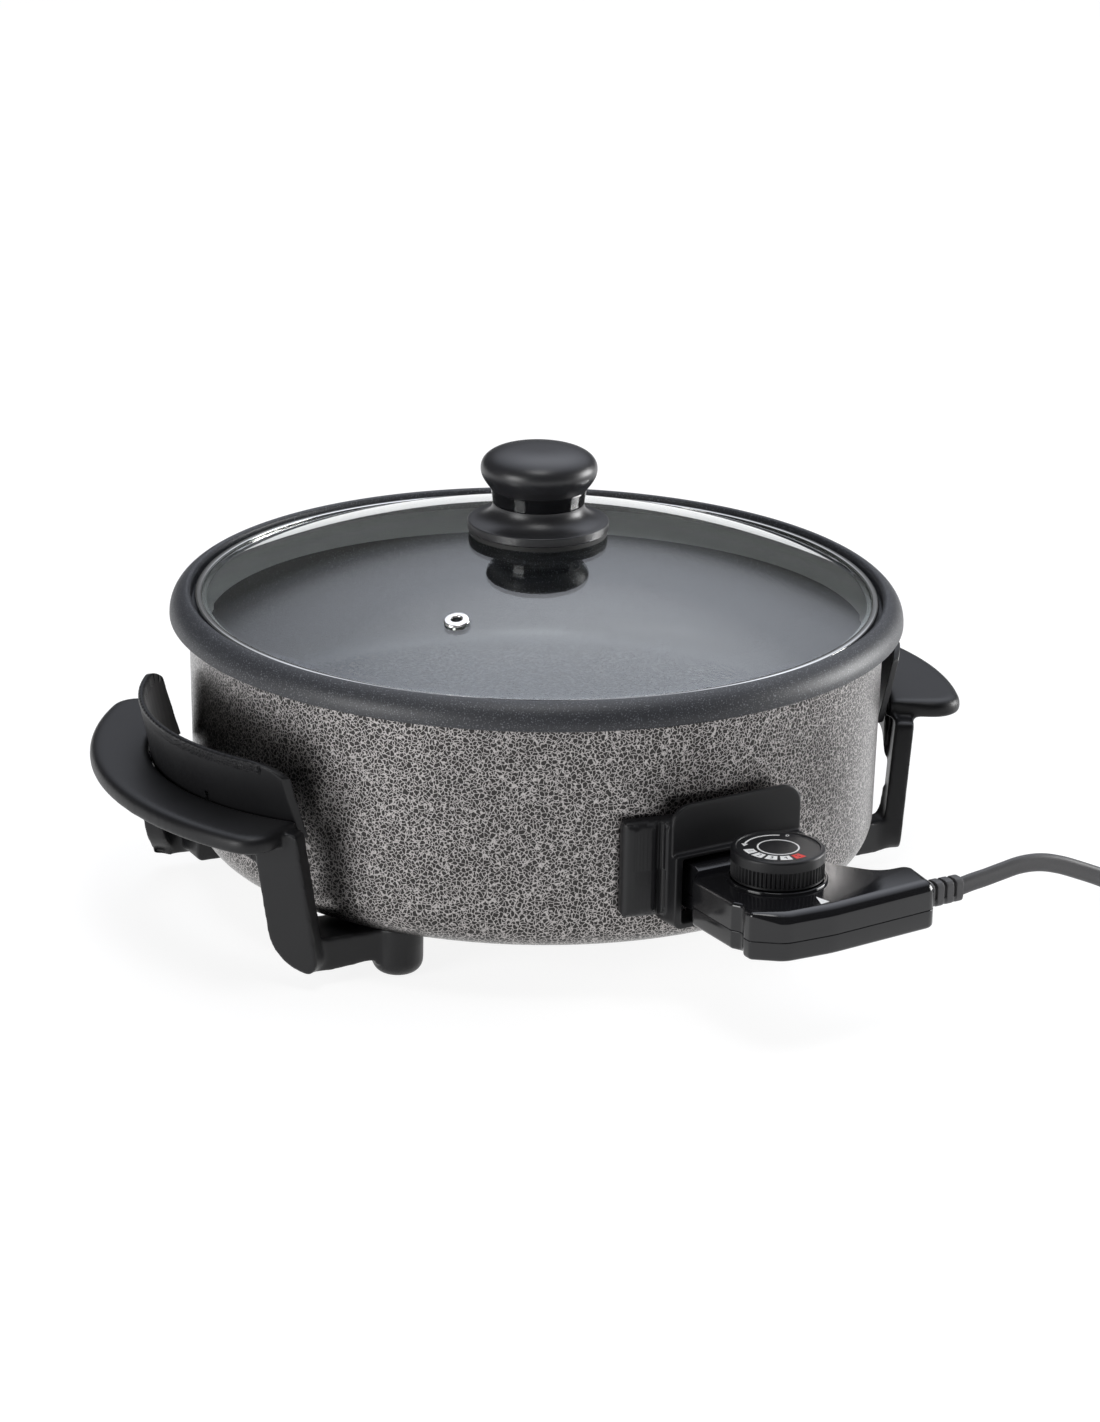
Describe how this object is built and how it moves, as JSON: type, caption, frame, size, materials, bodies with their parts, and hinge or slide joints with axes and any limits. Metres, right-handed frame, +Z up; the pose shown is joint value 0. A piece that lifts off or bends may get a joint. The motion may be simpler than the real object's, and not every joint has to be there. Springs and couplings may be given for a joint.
{
  "type": "electric skillet",
  "caption": "Deep round electric skillet with a lift-off glass lid, crescent foot handles, and a plug-in heat control with a turning dial and cord.",
  "frame": {"origin": "on the pan's vertical axis, at the table under the feet", "axes": "+Z up along the pan's axis, -Y towards the heat control, handles at -X and +X"},
  "size_m": [0.6331, 0.4419, 0.2275],
  "materials": {
    "nonstick": "satin speckled",
    "hammertone": "hammered gloss",
    "steel": "bright",
    "element": "dull",
    "ceramic": "matt",
    "bakelite": "matt",
    "control_black": "gloss",
    "glass": "clear",
    "gasket": "matt",
    "brass": "bright",
    "carrier": "matt",
    "cord": "satin"
  },
  "bodies": {
    "base": {"inner_pot": "nonstick", "outer_shell": "hammertone", "shell_screws": "steel", "heating_element": "element", "terminal_pins": "steel", "terminal_insulators": "ceramic", "socket_well": "steel", "socket_guard": "bakelite", "guard_screws": "steel", "left_handle": "bakelite", "right_handle": "bakelite", "left_heat_shield": "bakelite", "right_heat_shield": "bakelite", "handle_screws": "steel", "nut_plates": "steel"},
    "lid": {"lid_glass": "glass", "lid_band": "steel", "vent_eyelet": "steel", "knob_gasket": "gasket", "knob_base": "bakelite", "knob_collar": "control_black", "knob_cap": "bakelite", "knob_washer": "steel", "knob_screw": "steel"},
    "control": {"control_lower_shell": "control_black", "control_upper_shell": "control_black", "control_screws": "steel", "contact_carrier": "carrier", "contact_sleeves": "brass", "probe": "steel", "switch_frame": "ceramic", "switch_blades": "brass", "strain_relief": "cord", "cord_lead": "cord", "cord_coil": "cord", "cord_tail": "cord", "cord_tie": "cord", "plug_body": "cord", "plug_blades": "brass"},
    "dial": {"dial_knob": "control_black", "dial_spindle": "steel"}
  },
  "joints": [
    {"name": "lid_lift", "type": "slide", "parent": "base", "child": "lid", "axis": [0, 0, 1], "range_m": [0, 0.2]},
    {"name": "control_unplug", "type": "slide", "parent": "base", "child": "control", "axis": [0, -1, 0], "range_m": [0, 0.085]},
    {"name": "dial_turn", "type": "hinge", "parent": "control", "child": "dial", "pos_m": [0, -0.2143, 0.08], "axis": [0, 0, 1], "range_deg": [0, 233]}
  ]
}
